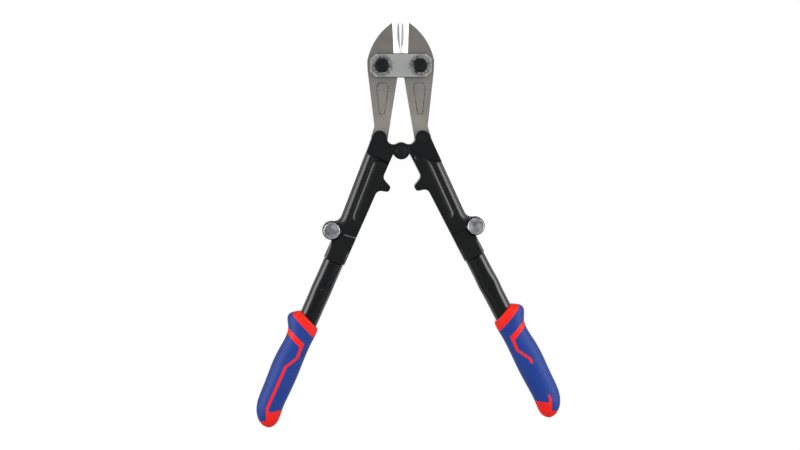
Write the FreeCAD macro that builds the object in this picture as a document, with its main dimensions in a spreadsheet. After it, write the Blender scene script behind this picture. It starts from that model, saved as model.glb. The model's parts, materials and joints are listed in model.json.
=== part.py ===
import FreeCAD, Part

import Sketcher

import math
import os
import re

# Folding-handle bolt cutters, lying flat, in millimetres and degrees.
#
# Frame: the origin is on the axis of the centre bolt, in the plane the tool rests on. +Y points to
# the blades, +Z up through the thickness, and -X is the tool's left side.
# Each casting is drawn for the left side. "Out" is measured from the tool's centre line, or from
# the casting's own reference line, to the left. The right side is the same piece turned over.

Vector = FreeCAD.Vector
Rotation = FreeCAD.Rotation
doc = FreeCAD.newDocument("bolt_cutters")
sheet = doc.addObject("Spreadsheet::Sheet", "Sizes")

SIZES = {
    # the whole tool
    "rest_half_angle": 25.5,        # each arm from the centre line, as the tool is drawn
    "arm_sway": 1.45,               # the left arm stands this much closer, the right one wider
    "mid_height": 15.0,             # the middle plane above the resting face
    "running_gap": 0.05,            # radial clearance of a pin in a hole that turns on it
    "side_gap": 0.15,               # between faces that slide on each other
    # the jaws, drawn as they stand when the blades are shut
    "bolt_half_spacing": 20.5,      # jaw bolt from the centre line
    "jaw_lever": 77.5,              # jaw bolt to tail pin
    "jaw_thickness": 11.0,
    "closing_angle": 2.1,           # each jaw, from the drawn pose until the blades meet
    "shut_gap": 0.1,                # left between the two edges when they are shut
    "tip_height": 45.3,             # blade tip above the jaw bolt
    "tip_half_width": 6.9,
    "flank_radius": 64.0,           # the round flank from the tip to the shoulder
    "shoulder_out": 15.1,           # outboard of the jaw bolt
    "shoulder_top": 5.3,
    "shoulder_bottom": 5.0,
    "heel_out": 4.3,                # the crotch under the plates, from the centre line
    "heel_drop": 14.1,
    "tail_eye_radius": 9.0,
    "neck_out": 4.9,                # the waist above the tail's eye, from the tail pin
    "neck_rise": 12.8,
    "bevel_width": 7.0,             # the ground blade
    "bevel_start": 7.0,
    "edge_half_land": 1.2,
    "hone_height": 32.5,            # the middle of the honed facet, above the jaw bolt
    "hone_radius": 150.0,
    "hone_angle": 42.0,
    "hone_depth": 0.75,
    "panel_drop": 18.3,             # the outlined panel on the jaw's flank, below the jaw bolt
    "panel_length": 34.0,
    "panel_shoulder": 5.2,          # its widest place, below its top
    "panel_top_half": 4.7,
    "panel_half": 6.7,
    "panel_foot_half": 3.0,
    "panel_lean": 1.9,
    "panel_line": 0.8,
    "panel_depth": 0.5,
    # plates and jaw bolts
    "plate_length": 66.0,
    "plate_width": 26.0,
    "plate_corner": 5.6,
    "plate_thickness": 4.0,
    "plate_bevel": 0.8,
    "jaw_bolt_radius": 5.0,
    "jaw_head_flats": 15.0,
    "jaw_head_height": 6.0,
    "jaw_head_round": 7.95,         # its corners are turned down to this
    "jaw_washer_radius": 10.6,
    "jaw_washer_root": 9.2,
    "jaw_washer_thickness": 1.2,
    "jaw_washer_teeth": 16,
    # the upper arms
    "tail_pin_reach": 27.0,         # centre bolt to tail pin
    "tail_pin_rise": 5.3,           # the angle of that line above square to the arm
    "tail_pin_radius": 3.5,
    "tail_boss_radius": 7.9,
    "eye_radius": 9.2,              # the lapped eye on the centre bolt
    "lap_gap": 0.5,                 # round the other arm's eye
    "cheek_half": 10.0,             # half thickness at the fork
    "beam_half": 8.5,
    "web_half": 9.4,                # the raised panel of the beam
    "valley_round": 7.0,            # the hollow between the boss and the eye
    "inner_edge": 6.5,
    "outer_edge": 30.1,             # at the knuckle
    "front_cheek_end": 16.6,
    "rear_cheek_end": 30.4,
    "cheek_curve": 60.0,
    "hook_top": 34.6,
    "hook_bottom": 49.2,
    "hook_reach": 5.3,              # past the reference line
    "hook_tip_top": 39.9,
    "hook_tip_bottom": 46.0,
    "hook_round": 2.9,
    "hook_root": 6.5,
    "web_top": 19.5,
    "web_out": 22.0,
    "web_foot_out": 19.0,
    "web_bottom": 90.0,
    "web_round": 7.0,
    "open_play": 1.2,               # the right tail pin's play, where the linkage is left open
    "open_offset": 1.08,            # the middle of that play, inward of the pin's drawn place
    "open_gap": 0.5,
    # the fold joint
    "fold_out": 34.0,
    "fold_drop": 108.3,
    "split_rise": 3.8,              # the parting face, higher at the inner edge
    "split_gap": 0.2,
    "knuckle_radius": 10.0,
    "knuckle_half": 9.5,
    "lug_half": 3.4,
    "knuckle_root": 9.0,
    "fold_pin_radius": 4.0,
    "fold_head_radius": 8.75,
    "fold_head_height": 3.6,
    "fold_head_round": 1.1,
    "fold_washer_radius": 9.5,
    "fold_washer_root": 8.6,
    "fold_washer_thickness": 1.2,
    "fold_washer_teeth": 24,
    "fold_nut_flats": 13.0,
    # centre bolt and tail pins
    "centre_bolt_radius": 3.5,
    "centre_head_flats": 11.2,
    "centre_head_height": 4.4,
    "centre_washer_radius": 6.6,
    "centre_washer_thickness": 1.0,
    "tail_head_radius": 5.5,
    "tail_head_height": 1.8,
    "tail_end": 2.4,
    "clip_radius": 6.2,
    "clip_thickness": 1.2,
    # the lower handles
    "tube_out": 18.3,
    "tube_radius": 11.0,
    "tube_wall": 1.6,
    "tube_end": 308.0,
    "socket_end": 137.8,
    "socket_radius": 12.0,
    "socket_outer": 29.9,
    "spigot_end": 184.0,
    "dimple_drop": 170.5,
    "dimple_radius": 4.0,
    "dimple_depth": 1.0,
    # the grips
    "grip_out": 19.7,
    "collar_top": 205.0,            # the slanted top face, where it meets the grip's middle
    "collar_slant": 24.0,
    "collar_band": 9.6,             # the red ring under the top face
    "collar_red_out": 36.2,         # past this the cover's blue wraps round the collar's corner
    "lip_round": 1.8,
    "sleeve_wall": 1.2,
    "inlay_depth": 1.6,
    "stripe_half_width": 1.5,
    "band_outer_drop": 220.4,       # the broad band round the grip's outer side
    "band_width": 5.7,
    "bend_out": 13.8,               # where the band turns into the thin stripe
    "bend_drop": 230.9,
    "stripe_near": 12.8,            # the stripe's run: near the bend, then along the palm
    "stripe_near_drop": 247.9,
    "stripe_far": 20.6,
    "stripe_far_drop": 261.8,
    "stripe_break_drop": 267.3,     # the right grip's stripe stops here, above its bare field
    "stub_drop": 308.4,             # and starts again with a point
    "stub_point_drop": 305.2,
    "cap_inner_drop": 303.1,        # the edge of the end cap, from the inner side outwards
    "cap_step_out": 16.5,
    "cap_step_drop": 314.2,
    "cap_foot_drop": 311.8,         # where it meets the stripe
    "cap_notch_out": 16.2,
    "cap_notch_drop": 324.2,
    "cap_outer_drop": 340.0,
    # shares of a fastener's own size
    "crown_share": 0.48,            # a hexagon's turned face, of its flats
    "tooth_root_share": 0.8,        # a washer's tooth, of its pitch
    "tooth_tip_share": 0.36,
    "tooth_sink": 0.95,
    # tools that only cut
    "cutter_reach": 100.0,
    "cutter_half": 40.0,
}

# The grip's sections down its length: drop, outer edge, inner edge and half thickness.
GRIP_SECTIONS = {
    "mouth": (198.0, 26.6, 4.8, 10.6),
    "collar": (204.0, 34.8, 4.8, 13.6),
    "flare": (212.0, 40.0, 4.6, 14.6),
    "waist": (219.0, 36.9, 4.2, 14.3),
    "neck": (227.0, 33.7, 4.8, 13.8),
    "upper": (245.0, 34.2, 5.1, 14.1),
    "palm": (275.0, 34.8, 4.3, 15.0),
    "lower": (298.0, 33.9, 4.9, 14.2),
    "turn": (311.0, 32.7, 4.4, 13.2),
    "pommel": (320.0, 29.6, 4.0, 11.3),
    "toe": (327.0, 24.4, 6.2, 7.4),
    "end": (331.0, 18.0, 10.6, 3.0),
}
for section, measures in GRIP_SECTIONS.items():
    for measure, size in zip(("drop", "outer", "inner", "half"), measures):
        SIZES[section + "_" + measure] = size

for row, (alias, size) in enumerate(SIZES.items(), start=1):
    sheet.set("A%d" % row, alias)
    sheet.set("B%d" % row, str(size))
    sheet.setAlias("B%d" % row, alias)
doc.recompute()


def value(expression):
    return float(sheet.evalExpression(expression))


def bind(target, prop, expression):
    named = re.sub(r"[a-z_]+", lambda word: "Sizes." + word.group() if word.group() in SIZES
                   else word.group(), expression)
    target.setExpression(prop, named)


# Where the linkage's pivots stand, worked out from the driving sizes.
TAIL_X = "(tail_pin_reach * cos(rest_half_angle + tail_pin_rise))"
TAIL_Y = "(tail_pin_reach * sin(rest_half_angle + tail_pin_rise))"
SPLAY_OUT = "(" + TAIL_X + " - bolt_half_spacing)"
SPLAY_DROP = "sqrt(jaw_lever^2 - " + SPLAY_OUT + "^2)"
BOLT_Y = "(" + TAIL_Y + " + " + SPLAY_DROP + ")"
JAW_TAIL_OUT = "(" + SPLAY_OUT + " * cos(closing_angle) + " + SPLAY_DROP + " * sin(closing_angle))"
JAW_TAIL_DROP = "(" + SPLAY_DROP + " * cos(closing_angle) - " + SPLAY_OUT + " * sin(closing_angle))"
# The arms lean unevenly and their tail pins stand evenly, so the pins differ in the arms' frames.
ARM_ANGLE = {"left": "(rest_half_angle - arm_sway)", "right": "(rest_half_angle + arm_sway)"}
PIN_ANGLE = {"left": "(tail_pin_rise + arm_sway)", "right": "(tail_pin_rise - arm_sway)"}
PLATE_BASE = "(jaw_thickness / 2 + side_gap)"
PLATE_TOP = "(jaw_thickness / 2 + side_gap + plate_thickness)"
# How far down a casting's straight outer side runs into the knuckle.
ARM_ROOT = "(fold_drop - sqrt(knuckle_radius^2 - (fold_out - outer_edge)^2))"
SOCKET_ROOT = "(fold_drop + sqrt(knuckle_radius^2 - (fold_out - socket_outer)^2))"
INNER_SPLIT = "(fold_drop - split_rise)"
THROUGH = "4 * mid_height"

Z_AXIS = Vector(0, 0, 1)
Y_AXIS = Vector(0, 1, 0)
X_AXIS = Vector(1, 0, 0)


# ---- helpers for bodies and sketches ----

def new_body(name):
    return doc.addObject("PartDesign::Body", name)


def new_sketch(body, name, height="0", plane="XY_Plane"):
    sketch = body.newObject("Sketcher::SketchObject", name)
    support = [item for item in body.Origin.OriginFeatures if item.Role == plane][0]
    sketch.AttachmentSupport = (support, [""])
    sketch.MapMode = "FlatFace"
    bind(sketch, ".AttachmentOffset.Base.z", height)
    return sketch


def hold_point(sketch, geometry, end, across, along):
    """Ties one point of the geometry to its two expressions."""
    spot = sketch.addConstraint(Sketcher.Constraint(
        "DistanceX", -1, 1, geometry, end, value(across)))
    bind(sketch, "Constraints[%d]" % spot, across)
    spot = sketch.addConstraint(Sketcher.Constraint(
        "DistanceY", -1, 1, geometry, end, value(along)))
    bind(sketch, "Constraints[%d]" % spot, along)


def draw_circle(sketch, out, along, radius):
    centre = Vector(-value(out), value(along), 0)
    index = sketch.addGeometry(Part.Circle(centre, Z_AXIS, value(radius)))
    spot = sketch.addConstraint(Sketcher.Constraint("Radius", index, value(radius)))
    bind(sketch, "Constraints[%d]" % spot, radius)
    hold_point(sketch, index, 3, "-(" + out + ")", along)


def arc_between(start, end, radius):
    """The short arc from start to end: its centre is on the left of the way if radius > 0."""
    chord = end - start
    half = chord.Length / 2
    rise = math.sqrt(radius * radius - half * half)
    left = Vector(-chord.y, chord.x, 0).normalize()
    centre = (start + end) * 0.5 + left * math.copysign(rise, radius)
    first, last = (start, end) if radius > 0 else (end, start)
    angles = [math.atan2(point.y - centre.y, point.x - centre.x) for point in (first, last)]
    if angles[1] < angles[0]:
        angles[1] += 2 * math.pi
    return Part.ArcOfCircle(Part.Circle(centre, Z_AXIS, abs(radius)), *angles)


def draw_outline(sketch, corners):
    """A closed outline. A corner is (out, along), or (out, along, side, radius) where an arc
    runs on to the next corner: side is +1 if its centre is on the left of the way, else -1."""
    places = [Vector(-value(corner[0]), value(corner[1]), 0) for corner in corners]
    pieces = []
    for number, corner in enumerate(corners):
        start = places[number]
        end = places[(number + 1) % len(corners)]
        if len(corner) == 2:
            index = sketch.addGeometry(Part.LineSegment(start, end))
            ends = (1, 2)
        else:
            side, radius = corner[2:]
            index = sketch.addGeometry(arc_between(start, end, side * value(radius)))
            ends = (1, 2) if side > 0 else (2, 1)
            spot = sketch.addConstraint(Sketcher.Constraint("Radius", index, value(radius)))
            bind(sketch, "Constraints[%d]" % spot, radius)
        pieces.append((index, ends))
    for number, (index, ends) in enumerate(pieces):
        following, following_ends = pieces[(number + 1) % len(pieces)]
        sketch.addConstraint(Sketcher.Constraint(
            "Coincident", index, ends[1], following, following_ends[0]))
        hold_point(sketch, index, ends[0], "-(" + corners[number][0] + ")", corners[number][1])


def pad(body, name, sketch, length, both=False):
    feature = body.newObject("PartDesign::Pad", name)
    feature.Profile = sketch
    feature.Midplane = both
    bind(feature, "Length", length)
    sketch.Visibility = False
    return feature


def pocket(body, name, sketch, depth, both=False, upward=False):
    """Cuts from the sketch's plane, down the body's -Z unless it is told otherwise."""
    feature = body.newObject("PartDesign::Pocket", name)
    feature.Profile = sketch
    feature.Midplane = both
    feature.Reversed = upward
    bind(feature, "Length", depth)
    sketch.Visibility = False
    return feature


def drill(body, name, out, along, radius, height="0", depth=THROUGH, both=True, upward=False):
    sketch = new_sketch(body, name + "_sketch", height)
    draw_circle(sketch, out, along, radius)
    return pocket(body, name, sketch, depth, both, upward)


def upright_edges(shape, spots):
    """Names of the edges along Z that pass within a quarter millimetre of the given places."""
    names = []
    for number, edge in enumerate(shape.Edges, start=1):
        ends = [vertex.Point for vertex in edge.Vertexes]
        if len(ends) != 2 or math.hypot(ends[0].x - ends[1].x, ends[0].y - ends[1].y) > 1e-6:
            continue
        if any(math.hypot(ends[0].x + value(out), ends[0].y - value(along)) < 0.25
               for out, along in spots):
            names.append("Edge%d" % number)
    return names


def round_edges(body, name, edges, radius, kind="PartDesign::Fillet"):
    base = body.Tip
    feature = body.newObject(kind, name)
    feature.Base = (base, edges)
    bind(feature, "Radius" if kind.endswith("Fillet") else "Size", radius)
    doc.recompute()
    return feature


# ---- helpers for turned pieces and fasteners ----

def cylinder(name, radius, height, base="0"):
    piece = doc.addObject("Part::Cylinder", name)
    bind(piece, "Radius", radius)
    bind(piece, "Height", height)
    bind(piece, ".Placement.Base.z", base)
    return piece


def hexagon(name, flats, height, base="0", crown_up=True):
    """A hexagon with the corners of its outer face turned off at 30 degrees."""
    prism = doc.addObject("Part::Prism", name + "_prism")
    prism.Polygon = 6
    bind(prism, "Circumradius", "(" + flats + ") / sqrt(3)")
    bind(prism, "Height", height)
    cone = doc.addObject("Part::Cone", name + "_turning")
    small, large = ("Radius2", "Radius1") if crown_up else ("Radius1", "Radius2")
    bind(cone, small, "(" + flats + ") * crown_share")
    bind(cone, large, "(" + flats + ") * crown_share + (" + height + ") * sqrt(3)")
    bind(cone, "Height", height)
    piece = doc.addObject("Part::Common", name)
    piece.Base = prism
    piece.Tool = cone
    bind(piece, ".Placement.Base.z", base)
    return piece


def fused(name, pieces):
    piece = doc.addObject("Part::MultiFuse", name)
    piece.Shapes = pieces
    return piece


def cut(name, base, tool):
    piece = doc.addObject("Part::Cut", name)
    piece.Base = base
    piece.Tool = tool
    return piece


def common(name, base, tool):
    piece = doc.addObject("Part::Common", name)
    piece.Base = base
    piece.Tool = tool
    return piece


def stand_at(piece, across, along, height="mid_height"):
    """Moves a finished piece from its own frame to its place in the tool."""
    bind(piece, ".Placement.Base.x", across)
    bind(piece, ".Placement.Base.y", along)
    bind(piece, ".Placement.Base.z", height)


PARTS = []


def deliver(piece, name):
    piece.Label = name
    PARTS.append(piece)


def pair(name, make):
    """Two like fasteners, one at each jaw bolt, kept as separate solids of one sub-part."""
    pieces = []
    for side, sign in (("left", "-"), ("right", "")):
        piece = make(name + "_" + side)
        stand_at(piece, sign + "bolt_half_spacing", BOLT_Y)
        pieces.append(piece)
    both = doc.addObject("Part::Compound", name + "_pair")
    both.Links = pieces
    deliver(both, name)


def turned(along, across, angle):
    """A place on or beside the line from the centre bolt to the tail pin, in the arm's frame."""
    return ("((" + along + ") * cos" + angle + " - (" + across + ") * sin" + angle + ")",
            "((" + along + ") * sin" + angle + " + (" + across + ") * cos" + angle + ")")


def fold_place(side):
    angle = ARM_ANGLE[side]
    return ("(fold_out * cos" + angle + " + fold_drop * sin" + angle + ")",
            "(fold_out * sin" + angle + " - fold_drop * cos" + angle + ")")


def set_side(piece, side, turn=None, across="0", along="0"):
    """Stands a casting in the tool: the right one is the left one turned over."""
    angle = value(turn or ARM_ANGLE[side])
    if side == "left":
        piece.Placement.Rotation = Rotation(Z_AXIS, -angle)
    else:
        piece.Placement.Rotation = Rotation(Z_AXIS, angle) * Rotation(Y_AXIS, 180)
    stand_at(piece, ("-" if side == "left" else "") + "(" + across + ")", along)


# ---- the head: plates, bolts, toothed washers and nuts ----

def plate(name, base):
    body = new_body(name + "_body")
    sketch = new_sketch(body, name + "_outline", base)
    end = "plate_length / 2"
    edge = "plate_width / 2"
    short_end = "(plate_length / 2 - plate_corner)"
    short_edge = "(plate_width / 2 - plate_corner)"
    draw_outline(sketch, [
        (short_end, edge), (end, short_edge), (end, "-" + short_edge), (short_end, "-" + edge),
        ("-" + short_end, "-" + edge), ("-" + end, "-" + short_edge),
        ("-" + end, short_edge), ("-" + short_end, edge),
    ])
    pad(body, name + "_slab", sketch, "plate_thickness")
    doc.recompute()
    outer_face = value(base) + value("plate_thickness") if name == "front_plate" else value(base)
    rim = ["Edge%d" % number for number, edge in enumerate(body.Shape.Edges, start=1)
           if all(abs(vertex.Point.z - outer_face) < 1e-6 for vertex in edge.Vertexes)]
    round_edges(body, name + "_bevel", rim, "plate_bevel", "PartDesign::Chamfer")
    for side, sign in (("left", ""), ("right", "-")):
        drill(body, name + "_hole_" + side, sign + "bolt_half_spacing", "0",
              "jaw_bolt_radius + running_gap")
    stand_at(body, "0", BOLT_Y)
    deliver(body, name)


def jaw_bolt(name):
    # The shank ends flush with the nut's outer face.
    washer_top = PLATE_TOP + " + jaw_washer_thickness"
    shank = cylinder(name + "_shank", "jaw_bolt_radius", washer_top + " + mid_height", "-mid_height")
    head = common(name + "_head",
                  hexagon(name + "_head_blank", "jaw_head_flats", "jaw_head_height", washer_top),
                  cylinder(name + "_head_turning", "jaw_head_round", "mid_height", washer_top))
    return fused(name, [shank, head])


def toothed_washer(name, root, tip, bore, thickness, teeth, base):
    body = new_body(name)
    ring = new_sketch(body, name + "_ring", base)
    draw_circle(ring, "0", "0", root)
    pad(body, name + "_disc", ring, thickness)
    tooth = new_sketch(body, name + "_tooth_outline", base)
    pitch = " * " + root + " * sin(180 / " + teeth + ")"
    draw_outline(tooth, [
        ("-tooth_root_share" + pitch, root + " * tooth_sink"),
        ("tooth_root_share" + pitch, root + " * tooth_sink"),
        ("tooth_tip_share" + pitch, tip),
        ("-tooth_tip_share" + pitch, tip),
    ])
    pad(body, name + "_tooth", tooth, thickness)
    first = body.Tip
    spread = body.newObject("PartDesign::PolarPattern", name + "_teeth")
    spread.Originals = [first]
    spread.Axis = ([item for item in body.Origin.OriginFeatures if item.Role == "Z_Axis"][0], [""])
    spread.Angle = 360
    bind(spread, "Occurrences", teeth)
    body.Tip = spread
    drill(body, name + "_bore", "0", "0", bore)
    return body


def jaw_front_washer(name):
    return toothed_washer(name, "jaw_washer_root", "jaw_washer_radius",
                          "jaw_bolt_radius + running_gap", "jaw_washer_thickness",
                          "jaw_washer_teeth", PLATE_TOP)


def jaw_rear_washer(name):
    disc = cylinder(name + "_disc", "jaw_washer_root", "jaw_washer_thickness",
                    "-" + PLATE_TOP + " - jaw_washer_thickness")
    bore = cylinder(name + "_bore", "jaw_bolt_radius + running_gap", "mid_height", "-mid_height")
    return cut(name, disc, bore)


def jaw_nut(name):
    nut = hexagon(name + "_blank", "jaw_head_flats",
                  "mid_height - " + PLATE_TOP + " - jaw_washer_thickness", "-mid_height", False)
    bore = cylinder(name + "_bore", "jaw_bolt_radius + running_gap", "mid_height", "-mid_height")
    return cut(name, nut, bore)


plate("front_plate", PLATE_BASE)
plate("rear_plate", "-" + PLATE_TOP)
pair("jaw_bolts", jaw_bolt)
pair("toothed_washers", jaw_front_washer)
pair("plain_washers", jaw_rear_washer)
pair("jaw_bolt_nuts", jaw_nut)


# ---- the jaws ----

def panel_corners(inset):
    top = "-(panel_drop + " + inset + ")"
    shoulder = "-(panel_drop + panel_shoulder)"
    foot = "-(panel_drop + panel_length - " + inset + ")"
    return [
        ("-(panel_top_half - " + inset + ")", top),
        ("panel_top_half - " + inset, top),
        ("panel_half - " + inset, shoulder),
        ("panel_lean + panel_foot_half - " + inset, foot),
        ("panel_lean - panel_foot_half + " + inset, foot),
        ("-(panel_half - " + inset + ")", shoulder),
    ]


def jaw(side):
    """Drawn with the blades shut: the jaw bolt is at the origin, the blade edge stands upright."""
    name = "jaw_" + side
    body = new_body(name + "_body")
    edge = "(shut_gap / 2 - bolt_half_spacing)"
    tip = "(tip_half_width - bolt_half_spacing)"
    outline = new_sketch(body, name + "_outline")
    draw_outline(outline, [
        (edge, "0"),
        (edge, "tip_height"),
        (tip, "tip_height", 1, "flank_radius"),
        ("shoulder_out", "shoulder_top"),
        ("shoulder_out", "-shoulder_bottom"),
        (JAW_TAIL_OUT + " + neck_out", "-(" + JAW_TAIL_DROP + " - neck_rise)"),
        (JAW_TAIL_OUT + " + tail_eye_radius", "-" + JAW_TAIL_DROP),
        (JAW_TAIL_OUT + " - tail_eye_radius", "-" + JAW_TAIL_DROP),
        ("heel_out - bolt_half_spacing", "-heel_drop"),
    ])
    pad(body, name + "_slab", outline, "jaw_thickness", True)
    eye = new_sketch(body, name + "_eye_outline")
    draw_circle(eye, JAW_TAIL_OUT, "-" + JAW_TAIL_DROP, "tail_eye_radius")
    pad(body, name + "_eye", eye, "jaw_thickness", True)
    # The ground blade: a flat bevel on each face, and a hollow honed facet along the edge.
    for face, sign in (("front", 1), ("rear", -1)):
        bevel = new_sketch(body, name + "_" + face + "_bevel_outline", "-bevel_start", "XZ_Plane")
        draw_outline(bevel, [
            (edge + " - 1", "%d * edge_half_land" % sign),
            (edge, "%d * edge_half_land" % sign),
            (edge + " + bevel_width", "%d * jaw_thickness / 2" % sign),
            (edge + " + bevel_width", "%d * (jaw_thickness / 2 + 1)" % sign),
            (edge + " - 1", "%d * (jaw_thickness / 2 + 1)" % sign),
        ])
        pocket(body, name + "_" + face + "_bevel", bevel, "tip_height")
        hone = body.newObject("PartDesign::SubtractiveCylinder", name + "_" + face + "_hone")
        bind(hone, "Radius", "hone_radius")
        bind(hone, "Height", "bevel_width * 4")
        slope = math.radians(value("hone_angle"))
        axis = Vector(-math.cos(slope), 0, sign * math.sin(slope))
        away = Vector(math.sin(slope), 0, sign * math.cos(slope))
        start = Vector(-value(edge), value("hone_height"), sign * value("edge_half_land"))
        start += away * (value("hone_radius") - value("hone_depth")) - axis * value("bevel_width * 2")
        hone.Placement = FreeCAD.Placement(start, Rotation(Z_AXIS, axis))
        panel = new_sketch(body, name + "_" + face + "_panel", "%d * jaw_thickness / 2" % sign)
        draw_outline(panel, panel_corners("0"))
        draw_outline(panel, panel_corners("panel_line"))
        pocket(body, name + "_" + face + "_panel_line", panel, "panel_depth", upward=sign < 0)
    drill(body, name + "_pivot", "0", "0", "jaw_bolt_radius + running_gap")
    if side == "left":
        hole = (JAW_TAIL_OUT, "-" + JAW_TAIL_DROP, "tail_pin_radius + running_gap")
    else:
        hole = (JAW_TAIL_OUT + " - open_offset", "-" + JAW_TAIL_DROP,
                "tail_pin_radius + open_play + open_gap")
    drill(body, name + "_tail_hole", *hole)
    set_side(body, side, "-closing_angle", "bolt_half_spacing", BOLT_Y)
    deliver(body, name)


# ---- the upper arms ----

def valley_ends(side):
    """Where the hollow between the tail boss and the eye meets each of them."""
    from_eye = "(eye_radius + valley_round)"
    from_boss = "(tail_boss_radius + valley_round)"
    along = "((" + from_eye + "^2 - " + from_boss + "^2 + tail_pin_reach^2) / (2 * tail_pin_reach))"
    across = "sqrt(" + from_eye + "^2 - " + along + "^2)"
    eye_share = " * eye_radius / " + from_eye
    boss_share = " * tail_boss_radius / " + from_boss
    boss_end = turned("tail_pin_reach + (" + along + " - tail_pin_reach)" + boss_share,
                      across + boss_share, PIN_ANGLE[side])
    eye_end = turned(along + eye_share, across + eye_share, PIN_ANGLE[side])
    return boss_end, eye_end


def upper_arm(side):
    name = "upper_arm_" + side
    pin_out, pin_up = turned("tail_pin_reach", "0", PIN_ANGLE[side])
    boss_out = pin_out + " + tail_boss_radius"
    boss_end, eye_end = valley_ends(side)
    hollow = boss_end + (1, "valley_round")

    def outer_at(drop):
        """Where the straight outer side is, at a drop below the centre bolt."""
        return ("(outer_edge + (" + boss_out + " - outer_edge) * (" + ARM_ROOT + " - " + drop + ")"
                " / (" + ARM_ROOT + " + " + pin_up + "))")

    body = new_body(name + "_body")
    beam = new_sketch(body, name + "_beam_outline")
    draw_outline(beam, [
        ("inner_edge", "-eye_radius / 2"),
        ("inner_edge", "-hook_top"),
        ("-hook_reach", "-hook_tip_top"),
        ("-hook_reach", "-hook_tip_bottom"),
        ("inner_edge", "-hook_bottom"),
        ("inner_edge", "-" + INNER_SPLIT),
        ("fold_out", "-fold_drop"),
        ("outer_edge", "-" + ARM_ROOT),
        (boss_out, pin_up),
        hollow,
        eye_end,
    ])
    pad(body, name + "_beam", beam, "2 * beam_half", True)
    front = new_sketch(body, name + "_front_outline")
    draw_outline(front, [
        ("inner_edge", "-eye_radius / 2"),
        ("inner_edge", "-front_cheek_end"),
        (outer_at("front_cheek_end"), "-front_cheek_end"),
        (boss_out, pin_up),
        hollow,
        eye_end,
    ])
    pad(body, name + "_front_cheek", front, "cheek_half")
    rear = new_sketch(body, name + "_rear_outline", "-cheek_half")
    draw_outline(rear, [
        eye_end + (-1, "cheek_curve"),
        (outer_at("rear_cheek_end"), "-rear_cheek_end"),
        (boss_out, pin_up),
        hollow,
    ])
    pad(body, name + "_rear_cheek", rear, "cheek_half")
    boss = new_sketch(body, name + "_boss_outline")
    draw_circle(boss, pin_out, pin_up, "tail_boss_radius")
    pad(body, name + "_boss", boss, "2 * cheek_half", True)
    eye = new_sketch(body, name + "_eye_outline", "side_gap / 2")
    draw_circle(eye, "0", "0", "eye_radius")
    pad(body, name + "_eye", eye, "cheek_half - side_gap / 2")
    knuckle = new_sketch(body, name + "_knuckle_outline")
    draw_circle(knuckle, "fold_out", "-fold_drop", "knuckle_radius")
    pad(body, name + "_knuckle", knuckle, "2 * knuckle_half", True)
    doc.recompute()
    for feature, spots, radius in (
            ("hook_tip", [("-hook_reach", "-hook_tip_top"), ("-hook_reach", "-hook_tip_bottom")],
             "hook_round"),
            ("hook_root", [("inner_edge", "-hook_top"), ("inner_edge", "-hook_bottom")], "hook_root"),
            ("knuckle_root", [("outer_edge", "-" + ARM_ROOT)], "knuckle_root")):
        round_edges(body, name + "_" + feature, upright_edges(body.Shape, spots), radius)
    web = new_sketch(body, name + "_web_outline")
    draw_outline(web, [
        ("inner_edge", "-web_top"),
        ("web_out", "-web_top"),
        ("web_foot_out", "-(web_bottom - web_round)", 1, "web_round"),
        ("web_foot_out - web_round", "-web_bottom"),
        ("inner_edge", "-web_bottom"),
    ])
    pad(body, name + "_web", web, "2 * web_half", True)
    drill(body, name + "_lap", "0", "0", "eye_radius + lap_gap", "side_gap / 2", THROUGH, False)
    drill(body, name + "_fork", pin_out, pin_up,
          "tail_eye_radius + open_play + open_offset + open_gap", "0", "jaw_thickness + 2 * side_gap")
    drill(body, name + "_lug_slot", "fold_out", "-fold_drop", "knuckle_radius + lap_gap", "0",
          "2 * (lug_half + side_gap)")
    drill(body, name + "_centre_hole", "0", "0", "centre_bolt_radius + running_gap")
    drill(body, name + "_tail_hole", pin_out, pin_up, "tail_pin_radius + running_gap")
    drill(body, name + "_fold_hole", "fold_out", "-fold_drop", "fold_pin_radius + running_gap")
    set_side(body, side)
    deliver(body, name)


def tail_pin(side):
    name = "tail_pin_" + side
    shank = cylinder(name + "_shank", "tail_pin_radius", "2 * cheek_half + tail_end",
                     "-cheek_half - tail_end")
    head = cylinder(name + "_head", "tail_head_radius", "tail_head_height", "cheek_half")
    pin = fused(name, [shank, head])
    clip = cut(name + "_clip_ring",
               cylinder(name + "_clip_disc", "clip_radius", "clip_thickness",
                        "-cheek_half - clip_thickness"),
               cylinder(name + "_clip_bore", "tail_pin_radius + running_gap", "mid_height",
                        "-mid_height"))
    sign = "-" if side == "left" else ""
    for piece, label in ((pin, name), (clip, "tail_pin_clip_" + side)):
        stand_at(piece, sign + TAIL_X, TAIL_Y)
        deliver(piece, label)


def centre_joint():
    bolt = fused("centre_bolt_fused", [
        cylinder("centre_shank", "centre_bolt_radius", "mid_height + cheek_half", "-mid_height"),
        hexagon("centre_head", "centre_head_flats", "centre_head_height", "cheek_half")])
    bore = "centre_bolt_radius + running_gap"
    washer = cut("centre_washer_ring",
                 cylinder("centre_washer_disc", "centre_washer_radius", "centre_washer_thickness",
                          "-cheek_half - centre_washer_thickness"),
                 cylinder("centre_washer_bore", bore, "mid_height", "-mid_height"))
    nut = cut("centre_nut_ring",
              hexagon("centre_nut_blank", "centre_head_flats",
                      "mid_height - cheek_half - centre_washer_thickness", "-mid_height", False),
              cylinder("centre_nut_bore", bore, "mid_height", "-mid_height"))
    for piece, label in ((bolt, "centre_bolt"), (washer, "centre_washer"), (nut, "centre_nut")):
        stand_at(piece, "0", "0")
        deliver(piece, label)


# ---- the fold joints and lower handles ----

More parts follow.
